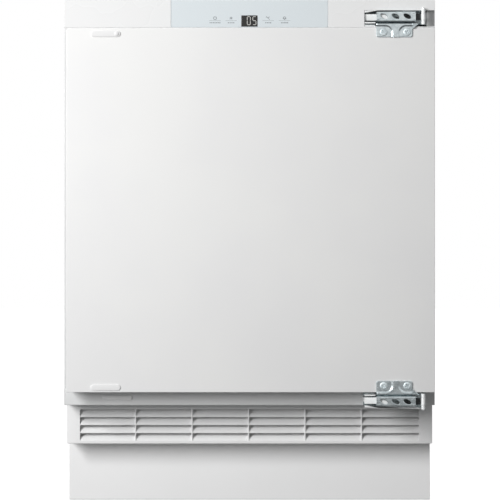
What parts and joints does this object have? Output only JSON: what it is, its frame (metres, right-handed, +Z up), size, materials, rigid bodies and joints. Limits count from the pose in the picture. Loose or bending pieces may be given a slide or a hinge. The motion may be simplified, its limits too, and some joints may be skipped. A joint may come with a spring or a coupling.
{
  "type": "built-under larder refrigerator",
  "caption": "Undercounter larder refrigerator for a furniture door, with articulated hinges, control fascia, plinth grille, glass shelves, crisper and compressor circuit.",
  "frame": {"origin": "floor level under the middle of the overall width and depth", "axes": "+X right as seen from the front, -Y front, +Z up"},
  "size_m": [0.597, 0.56, 0.815],
  "materials": {
    "white_enamel": "satin",
    "galvanised_sheet": "satin",
    "insulation_foam": "matte",
    "liner_plastic": "satin",
    "cap_plastic": "satin",
    "fascia_plastic": "satin",
    "fascia_foil": "satin",
    "display_glass": "gloss",
    "circuit_board": "satin",
    "aluminium_sheet": "satin",
    "black_plastic": "matte",
    "lamp_diffuser": "satin",
    "shelf_glass": "gloss",
    "trim_plastic": "satin",
    "clear_plastic": "gloss",
    "black_enamel": "satin",
    "mount_rubber": "matte",
    "copper": "satin",
    "grille_plastic": "satin",
    "zinc_steel": "satin",
    "pin_steel": "polished",
    "seal_rubber": "matte",
    "foot_plastic": "matte"
  },
  "bodies": {
    "cabinet": {"outer_wrapper": "white_enamel", "back_panel": "galvanised_sheet", "bottom_pan": "galvanised_sheet", "cabinet_foam": "insulation_foam", "inner_liner": "liner_plastic", "front_rail": "white_enamel", "rail_cap": "cap_plastic", "fascia_housing": "fascia_plastic", "fascia_panel": "fascia_foil", "display_window": "display_glass", "control_board": "circuit_board", "evaporator_plate": "aluminium_sheet", "drain_tube": "black_plastic", "lamp_housing": "liner_plastic", "lamp_lens": "lamp_diffuser", "temperature_sensor": "liner_plastic", "shelf_1": "shelf_glass", "shelf_2": "shelf_glass", "shelf_3": "shelf_glass", "shelf_trims": "trim_plastic", "crisper_cover": "shelf_glass", "base_rail_left": "galvanised_sheet", "base_rail_right": "galvanised_sheet", "compressor_plate": "galvanised_sheet", "compressor": "black_enamel", "compressor_mounts": "mount_rubber", "start_relay": "black_plastic", "evaporation_tray": "black_plastic", "condenser_coil": "black_enamel", "condenser_wires": "black_enamel", "condenser_clips": "black_plastic", "filter_drier": "copper", "refrigerant_lines": "copper", "terminal_block": "black_plastic", "vent_grille": "grille_plastic", "plinth_panel": "white_enamel", "hinge_arm_top": "zinc_steel", "hinge_arm_bottom": "zinc_steel", "hinge_arm_screws": "zinc_steel", "hinge_fixed_pins": "pin_steel"},
    "hinge_links": {"hinge_link_top": "zinc_steel", "hinge_link_bottom": "zinc_steel"},
    "door": {"door_outer_panel": "white_enamel", "door_foam": "insulation_foam", "door_liner": "liner_plastic", "door_gasket": "seal_rubber", "door_caps": "cap_plastic", "balcony_top": "clear_plastic", "balcony_middle": "clear_plastic", "balcony_bottle": "clear_plastic", "hinge_bracket_top": "zinc_steel", "hinge_bracket_bottom": "zinc_steel", "hinge_door_pins": "pin_steel", "hinge_door_screws": "zinc_steel"},
    "drawer": {"crisper_drawer": "clear_plastic"},
    "foot_front_left": {"foot_front_left": "foot_plastic"},
    "foot_front_right": {"foot_front_right": "foot_plastic"},
    "foot_rear_left": {"foot_rear_left": "foot_plastic"},
    "foot_rear_right": {"foot_rear_right": "foot_plastic"}
  },
  "joints": [
    {"name": "hinge_link_swing", "type": "hinge", "parent": "cabinet", "child": "hinge_links", "pos_m": [0.2756, -0.2745, 0.788], "axis": [0, 0, 1], "range_deg": [0, 135]},
    {"name": "door_fold", "type": "hinge", "parent": "hinge_links", "child": "door", "pos_m": [0.2456, -0.2745, 0.788], "axis": [0, 0, 1], "range_deg": [-31.1, 0]},
    {"name": "drawer_slide", "type": "slide", "parent": "cabinet", "child": "drawer", "axis": [0, -1, 0], "range_m": [0, 0.07]},
    {"name": "foot_front_left_level", "type": "slide", "parent": "cabinet", "child": "foot_front_left", "axis": [0, 0, -1], "range_m": [0, 0.015]},
    {"name": "foot_front_right_level", "type": "slide", "parent": "cabinet", "child": "foot_front_right", "axis": [0, 0, -1], "range_m": [0, 0.015]},
    {"name": "foot_rear_left_level", "type": "slide", "parent": "cabinet", "child": "foot_rear_left", "axis": [0, 0, -1], "range_m": [0, 0.015]},
    {"name": "foot_rear_right_level", "type": "slide", "parent": "cabinet", "child": "foot_rear_right", "axis": [0, 0, -1], "range_m": [0, 0.015]}
  ],
  "couplings": [
    {"joint": "door_fold", "follows": "hinge_link_swing", "ratio": -0.23}
  ]
}
